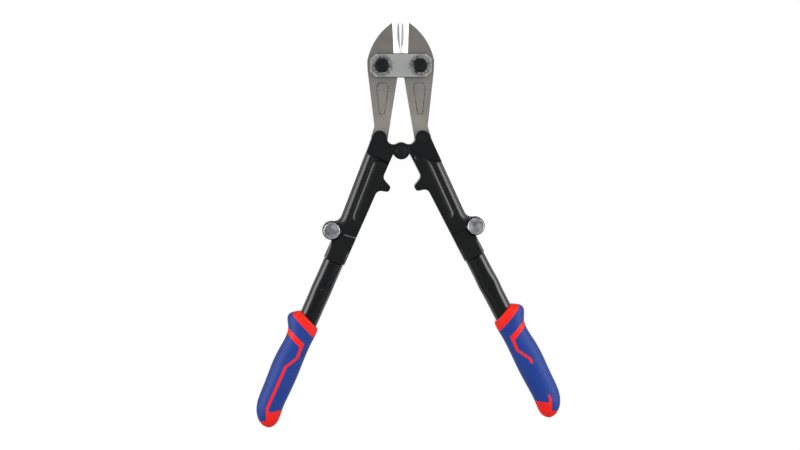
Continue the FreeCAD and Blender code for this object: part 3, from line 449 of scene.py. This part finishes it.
def relax(mesh, corners, rounds):
    """Moves each corner halfway to the middle of its neighbours, some rounds over."""
    pairs = np.empty(len(mesh.edges) * 2, dtype=int)
    mesh.edges.foreach_get("vertices", pairs)
    first, second = pairs.reshape(-1, 2).T
    count = np.bincount(pairs, minlength=len(corners))[:, None]
    for _ in range(rounds):
        total = np.zeros_like(corners)
        for axis in range(3):
            total[:, axis] = (np.bincount(first, corners[second, axis], len(corners))
                              + np.bincount(second, corners[first, axis], len(corners)))
        corners = (corners + total / count) / 2
    return corners


def formed_piece(name, mesh, corners, material):
    """A smooth piece from a fine form whose corners were moved."""
    mesh.vertices.foreach_set("co", corners.ravel())
    mesh.materials.clear()
    mesh.materials.append(material)
    mesh.polygons.foreach_set("use_smooth", [True] * len(mesh.polygons))
    mesh.update()
    piece = bpy.data.objects.new(name, mesh)
    scene.collection.objects.link(piece)
    return piece


def along_arm(corners, side):
    """How far out and how far down the arm each corner is, in millimetres."""
    cosine, sine = math.cos(lean[side]), math.sin(lean[side])
    out = (outward[side] * corners[:, 0] * cosine + corners[:, 1] * sine) / MM
    drop = (outward[side] * corners[:, 0] * sine - corners[:, 1] * cosine) / MM
    return out, drop


def distance_to_path(out, drop, path):
    """How far each corner lies from a path of straight runs."""
    nearest = np.full(len(out), np.inf)
    for (start_out, start_drop), (end_out, end_drop) in zip(path, path[1:]):
        run_out, run_drop = end_out - start_out, end_drop - start_drop
        part = np.clip(((out - start_out) * run_out + (drop - start_drop) * run_drop)
                       / (run_out ** 2 + run_drop ** 2), 0, 1)
        nearest = np.minimum(nearest, np.hypot(out - start_out - part * run_out,
                                               drop - start_drop - part * run_drop))
    return nearest


def smooth_step(value, low, high):
    """0 below low and 1 above high, with a soft S between them."""
    part = np.clip((value - low) / (high - low), 0, 1)
    return part * part * (3 - 2 * part)


# Baked black coat on a forging: half glossy, with the faint waves of orange peel, 3 mm apart.
black_coat, tree = blank_material("black_coated_forging")
place = add_node(tree, "ShaderNodeTexCoord")
peel = add_node(tree, "ShaderNodeTexNoise", {"Scale": cells(3), "Detail": 0.0},
                {"Vector": place.outputs["Object"]})
cloud = add_node(tree, "ShaderNodeTexNoise", {"Scale": cells(17), "Detail": 3.0},
                 {"Vector": place.outputs["Object"]})
sheen = add_node(tree, "ShaderNodeMapRange", {"To Min": 0.2, "To Max": 0.32},
                 {"Value": cloud.outputs[0]})
relief = add_node(tree, "ShaderNodeBump", {"Strength": 0.1, "Distance": 0.1 * MM},
                  {"Height": peel.outputs[0]})
coat = add_node(tree, "ShaderNodeBsdfPrincipled",
                {"Base Color": linear("#060607"), "Specular IOR Level": 0.4},
                {"Roughness": sheen.outputs[0], "Normal": relief.outputs[0]})
finish_material(tree, coat.outputs[0])

# Sizes are in millimetres. A half is measured from the tool's middle plane, a drop down the arm
# from the centre bolt, and how far out from the arm's line through that bolt.
side_top, side_foot = (34.8, -3.0), (30.3, 90.0)    # the outer side's ends, as out and drop
knuckle_fillet, fillet_turns = 9.0, np.linspace(0.15, 1.29, 8)
outer_side = [side_top, side_foot]
outer_side += [(side_foot[0] + knuckle_fillet * (1 - math.cos(turn)),
                side_foot[1] + knuckle_fillet * math.sin(turn)) for turn in fillet_turns]
taper = math.radians(2.7)                   # the rail leans outward this much less than the arm
rail_round, rail_end, groove_end = 10.2, 6.2, 11.0  # a radius, and reaches from the outer side
beam_half, groove_half = 8.5, 6.8
groove_fades, groove_gone = 86, 98          # drops between which the trough runs out
pad_half, pad_crown, pad_spread, pad_corner = 9.4, 2.0, 6.5, 7.0
pad_edge_foot, pad_edge_top = -0.8, 0.3     # the crisp edge, from just outside to just inside
pad_out, pad_out_drop, pad_lean = 22.0, 19.5, 3.0 / 64
pad_head, pad_foot = 18.9, 90.0
shaped_head, shaped_foot = 12, 104          # drops between which the arm is shaped
eye_side, eye_foot = 24, 16                 # further in than this, above this drop, is the eye
cheek_least, wall_top = 9.7, 0.4            # the top of the side walls moves with the faces
first_out, first_drop, cell_counts = -40, -60, (2, 120, 240)
face_size, relax_rounds = 0.3, 5
for side in ("left", "right"):
    turn = (lean[side] - taper) * outward[side]
    mesh, corners = fine_form("upper_arm_" + side, face_size, turn)
    out, drop = along_arm(corners, side)
    level = np.abs(corners[:, 2] - middle) / MM
    upper_face = corners[:, 2] > middle
    # The cheeks over the tail pin stand higher than the arm. Cells of 1 mm that reach above it,
    # told apart front and back, are theirs.
    cell = (upper_face.astype(int), np.round(out - first_out).astype(int),
            np.round(drop - first_drop).astype(int))
    tallest = np.zeros(cell_counts)
    np.maximum.at(tallest, cell, level)
    edge = distance_to_path(out, drop, outer_side)
    rail = beam_half - rail_round + np.sqrt(
        rail_round ** 2 - np.clip(rail_round - edge, 0, rail_round) ** 2)
    groove = groove_half + (beam_half - groove_half) * smooth_step(drop, groove_fades, groove_gone)
    base = rail + (groove - rail) * smooth_step(edge, rail_end, groove_end)
    # The pad has a round head on the face with the short cheek, and runs under the long one.
    from_side = pad_out - pad_lean * (drop - pad_out_drop) - out
    from_ends = np.where(upper_face == (side == "left"), drop - pad_head, pad_foot)
    from_ends = np.minimum(pad_foot - drop, from_ends)
    inside = np.minimum(from_side, from_ends)
    at_corner = (from_side < pad_corner) & (from_ends < pad_corner)
    inside = np.where(at_corner, pad_corner - np.hypot(pad_corner - from_side,
                                                       pad_corner - from_ends), inside)
    pad = pad_half - pad_crown * np.clip(1 - inside / pad_spread, 0, 1) ** 2
    cap = base + (pad - base) * smooth_step(inside, pad_edge_foot, pad_edge_top)
    shaped = ((tallest[cell] < cheek_least) & (drop > shaped_head) & (drop < shaped_foot)
              & ((edge < eye_side) | (drop > eye_foot))
              & (level > np.minimum(cap, beam_half - wall_top)))
    corners[shaped, 2] = middle + np.sign(corners[shaped, 2] - middle) * cap[shaped] * MM
    corners = relax(mesh, corners, relax_rounds)
    arm = formed_piece(side + "_upper_arm", mesh, corners, black_coat)
    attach(arm, "arm_" + side)
    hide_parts("upper_arm_" + side)

# ---- Pins and bolt of the linkage ----
# Turned tail pins that join each jaw to its arm, held by clips at the back, and the hexagon bolt
# on which the two arms turn. All are steel in black oxide.
dress(["tail_pin_" + side for side in ("left", "right")], black_oxide, 0.35)
dress(["tail_pin_clip_" + side for side in ("left", "right")], black_oxide, 0.12)
hexagon_bolt("crowned_centre_bolt", "centre_bolt", "arm_left", hinge_spots["centre_hinge"],
             flats=11.2, corner_radius=6.3, head=4.4, shank_radius=3.5)
dress(("centre_washer", "centre_nut"), black_oxide, 0.25)

# ---- Fold joints ----
# A bright plated pin with a slightly dished, scuffed head in each knuckle, on a black toothed
# washer, and a black nut on a plain washer at the back.

# Chromium plate: bright, but softened by scuffs 3 mm apart and by a dull haze in 8 mm patches.
plated, tree = blank_material("scuffed_chrome_plate")
place = add_node(tree, "ShaderNodeTexCoord")
scuffs = add_node(tree, "ShaderNodeTexNoise",
                  {"Scale": cells(3), "Detail": 5.0, "Distortion": 1.2},
                  {"Vector": place.outputs["Object"]})
sheen = add_node(tree, "ShaderNodeMapRange", {"To Min": 0.2, "To Max": 0.4},
                 {"Value": scuffs.outputs[0]})
haze = add_node(tree, "ShaderNodeTexNoise", {"Scale": cells(8), "Detail": 2.0},
                {"Vector": place.outputs["Object"]})
dulled = add_node(tree, "ShaderNodeMapRange", {"From Min": 0.38, "From Max": 0.62},
                  {"Value": haze.outputs[0]})
hue = add_node(tree, "ShaderNodeMix", {"data_type": "RGBA", 6: linear("#929294"),
                                       7: linear("#DCDCDE")}, {0: dulled.outputs[0]})
relief = add_node(tree, "ShaderNodeBump", {"Strength": 0.25, "Distance": 0.4 * MM},
                  {"Height": scuffs.outputs[0]})
metal = add_node(tree, "ShaderNodeBsdfPrincipled", {"Metallic": 1.0},
                 {"Base Color": hue.outputs[2], "Roughness": sheen.outputs[0],
                  "Normal": relief.outputs[0]})
finish_material(tree, metal.outputs[0])

# The pin's profile from the foot of its shank to the middle of its head, in millimetres, with
# heights from the tool's middle plane.
shank_radius, shank_foot = 4.0, -14.9
head_radius, head_seat, head_top, seat_lip = 8.75, 10.7, 14.9, 0.3
rim_round, dish_radius, dish_depth = 0.75, 8.0, 0.8
profile = [(shank_radius, shank_foot), (shank_radius, head_seat),
           (head_radius - seat_lip, head_seat), (head_radius, head_seat + seat_lip)]
profile += [(head_radius - rim_round * (1 - math.sin(turn)),
             head_top - rim_round * (1 - math.cos(turn)))
            for turn in np.linspace(math.pi / 2, 0.2, 5)]
profile += [(dish_radius * share, head_top - dish_depth * (1 - share ** 2))
            for share in np.linspace(1, 0.06, 9)]
profile = [(radius, middle / MM + height) for radius, height in profile]
for side in ("left", "right"):
    nut_low, nut_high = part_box("fold_nut_" + side)
    spot = [(nut_low[axis] + nut_high[axis]) / 2 for axis in (0, 1)]
    pin = turned(side + "_fold_pin", profile, spot, plated)
    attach(pin, "arm_" + side)
    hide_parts("fold_pin_" + side)
    dress(["fold_toothed_washer_" + side, "fold_plain_washer_" + side, "fold_nut_" + side],
          black_oxide, 0.12)

# ---- Handle sockets ----
# The forged lower half of each knuckle, with the arms' black coat. Its flat faces swell into a
# thicker collar with rounded shoulders, which the tube butts against.
tube_out, collar_half, block_half = 18.3, 11.8, 9.5
swell_start, swell_end, socket_end = 114.0, 131.0, 137.4
squareness, widest_share = 5, 0.96      # of the collar's cross-section, a rounded square
face_size, relax_rounds, slice_half = 0.4, 8, 0.6
for side in ("left", "right"):
    mesh, corners = fine_form("handle_socket_" + side, face_size, lean[side] * outward[side])
    out, drop = along_arm(corners, side)
    # How far each corner lies from the tube's axis, as a share of the way to the socket's side.
    steps = np.arange(swell_start, socket_end)
    slices = [np.abs(drop - step) < slice_half for step in steps]
    widths = {sign: np.array([(sign * (out[part] - tube_out)).max() for part in slices])
              for sign in (-1, 1)}
    width = np.where(out < tube_out, np.interp(drop, steps, widths[-1]),
                     np.interp(drop, steps, widths[1]))
    across = np.clip(np.abs(out - tube_out) / width, 0, widest_share)
    collar = collar_half * (1 - across ** squareness) ** (1 / squareness)
    swell = block_half + (collar - block_half) * smooth_step(drop, swell_start, swell_end)
    swollen = (drop > swell_start) & (drop < socket_end)
    block_level = np.clip((corners[:, 2] - middle) / MM, -block_half, block_half)
    corners[swollen, 2] = middle + (block_level * swell / block_half)[swollen] * MM
    corners = relax(mesh, corners, relax_rounds)
    socket = formed_piece(side + "_handle_socket", mesh, corners, black_coat)
    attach(socket, "handle_" + side)
    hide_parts("handle_socket_" + side)

# ---- Worn edge of the left socket ----
# On the left handle the coat is worn off the edge where the socket parts from the arm, down to
# bare steel. It is a thin strip that lies on that edge.


def arm_place(side, out, drop):
    """The x and y in metres of a point so far out and so far down an arm, in millimetres."""
    cosine, sine = math.cos(lean[side]), math.sin(lean[side])
    return outward[side] * (out * cosine + drop * sine) * MM, (out * sine - drop * cosine) * MM


# Bare steel, rubbed bright and dull by turns, 1.25 mm apart.
bare_steel, tree = blank_material("bare_worn_steel")
place = add_node(tree, "ShaderNodeTexCoord")
wear = add_node(tree, "ShaderNodeTexNoise", {"Scale": cells(1.25), "Detail": 2.0},
                {"Vector": place.outputs["Object"]})
hue = add_node(tree, "ShaderNodeMix", {"data_type": "RGBA", 6: linear("#77777A"),
                                       7: linear("#D6D6D8")}, {0: wear.outputs[0]})
metal = add_node(tree, "ShaderNodeBsdfPrincipled", {"Metallic": 1.0, "Roughness": 0.3},
                 {"Base Color": hue.outputs[2]})
finish_material(tree, metal.outputs[0])

# The strip follows a line of outs and drops. Its section is how far below that line, and how far
# above the tool's middle plane.
worn_line = ((7.4, 104.6), (13.5, 105.5), (20.5, 106.4))
worn_section = [(0.1, 8.4), (0.1, 9.2), (0.6, 9.6), (1.0, 9.6), (1.0, 8.4)]
worn_corners = [(*arm_place("left", out, drop + below), middle + level * MM)
                for out, drop in worn_line for below, level in worn_section]
sides = len(worn_section)
worn_faces = [tuple(range(sides)), tuple(reversed(range(2 * sides, 3 * sides)))]
worn_faces += [(start + step, start + sides + step, start + sides + (step + 1) % sides,
                start + (step + 1) % sides) for start in (0, sides) for step in range(sides)]
worn_mesh = bpy.data.meshes.new("left_worn_edge")
worn_mesh.from_pydata(worn_corners, [], worn_faces)
worn_mesh.materials.append(bare_steel)
worn_edge = bpy.data.objects.new("left_worn_edge", worn_mesh)
scene.collection.objects.link(worn_edge)
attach(worn_edge, "handle_left")

# ---- Handle tubes ----
# Steel tube with a glossy black enamel, pushed over the socket's spigot. A press has dented it
# front and back to hold it there, which also flattens it a little round the dent.

# Stoved enamel: a deep black gloss, a little uneven over 25 mm.
enamel, tree = blank_material("glossy_black_enamel")
place = add_node(tree, "ShaderNodeTexCoord")
cloud = add_node(tree, "ShaderNodeTexNoise", {"Scale": cells(25), "Detail": 3.0},
                 {"Vector": place.outputs["Object"]})
sheen = add_node(tree, "ShaderNodeMapRange", {"To Min": 0.14, "To Max": 0.22},
                 {"Value": cloud.outputs[0]})
coat = add_node(tree, "ShaderNodeBsdfPrincipled",
                {"Base Color": linear("#030304"), "Specular IOR Level": 0.4},
                {"Roughness": sheen.outputs[0]})
finish_material(tree, coat.outputs[0])

tube_radius, tube_wall, tube_top, tube_foot, tube_lip = 11.0, 1.6, 138.3, 308.0, 0.3
dent_drop, flat_length = 170.5, 9.0
dents = {"left": (1.5, 1.6, 0.4), "right": (1.7, 2.6, 0.9)}  # depth, radius, depth of the flat


def tube_ring(side, drop, radius):
    """A ring of points round the handle tube's axis, at a distance down the arm."""
    x, y = arm_place(side, tube_out + radius * np.cos(around), drop)
    return np.stack([x, y, middle + radius * np.sin(around) * MM], axis=1)


# The rings stand 0.5 mm apart round the dent and wider elsewhere.
fine_head, fine_foot = 155, 187
drops = np.unique(np.concatenate([
    [tube_top, tube_top + tube_lip], np.arange(tube_top + 1.2, fine_head - 1, 1.5),
    np.arange(fine_head, fine_foot, 0.5), np.arange(fine_foot + 1, tube_foot, 6), [tube_foot]]))
for side in ("left", "right"):
    dent_depth, dent_radius, flat_depth = dents[side]
    rings = []
    for drop in drops:
        past = drop - dent_drop
        beside = tube_radius * np.cos(around)
        dent = dent_depth * np.exp(-(beside ** 2 + past ** 2) / dent_radius ** 2)
        # What is pressed in front and back bulges out at the sides.
        flat = flat_depth * math.exp(-(past / flat_length) ** 2) * (
            np.abs(np.sin(around)) ** 3 - 0.5 * np.cos(around) ** 2)
        lip = tube_lip if drop == tube_top else 0
        rings.append(tube_ring(side, drop, tube_radius - dent - flat - lip))
    rings += [tube_ring(side, drop, tube_radius - tube_wall) for drop in (tube_foot, tube_top)]
    # The left arm is a mirror image, so its rings go the other way to keep its faces outward.
    tube = revolved(side + "_handle_tube", rings[::-1] if side == "left" else rings, True, enamel)
    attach(tube, "handle_" + side)
    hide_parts("handle_tube_" + side)

# ---- Grips ----
# Two-shot moulded grips: a red sleeve with ring, stripe and end cap, and a soft blue cover
# moulded over it. They are pushed on over the tube's end.


def moulded(name, colour, deep):
    """Soft thermoplastic: matt, from a spark-eroded mould. Its grain is drawn 0.55 mm apart, as
    fine as shows, and the colour drifts a little over 33 mm."""
    material, tree = blank_material(name)
    place = add_node(tree, "ShaderNodeTexCoord")
    spark = add_node(tree, "ShaderNodeTexNoise", {"Scale": cells(0.55), "Detail": 3.0},
                     {"Vector": place.outputs["Object"]})
    cloud = add_node(tree, "ShaderNodeTexNoise", {"Scale": cells(33), "Detail": 2.0},
                     {"Vector": place.outputs["Object"]})
    hue = add_node(tree, "ShaderNodeMix", {"data_type": "RGBA", 6: linear(deep),
                                           7: linear(colour)}, {0: cloud.outputs[0]})
    relief = add_node(tree, "ShaderNodeBump", {"Strength": 0.2, "Distance": 0.1 * MM},
                      {"Height": spark.outputs[0]})
    rubber = add_node(tree, "ShaderNodeBsdfPrincipled",
                      {"Roughness": 0.5, "Specular IOR Level": 0.15},
                      {"Base Color": hue.outputs[2], "Normal": relief.outputs[0]})
    finish_material(tree, rubber.outputs[0])
    return material


red = moulded("red_moulded_plastic", "#F4261A", "#EB2018")
blue = moulded("blue_moulded_rubber", "#224190", "#1B3681")
for side in ("left", "right"):
    dress(["grip_sleeve_" + side], red, 0.45)
    dress(["grip_cover_" + side], blue, 0.45)
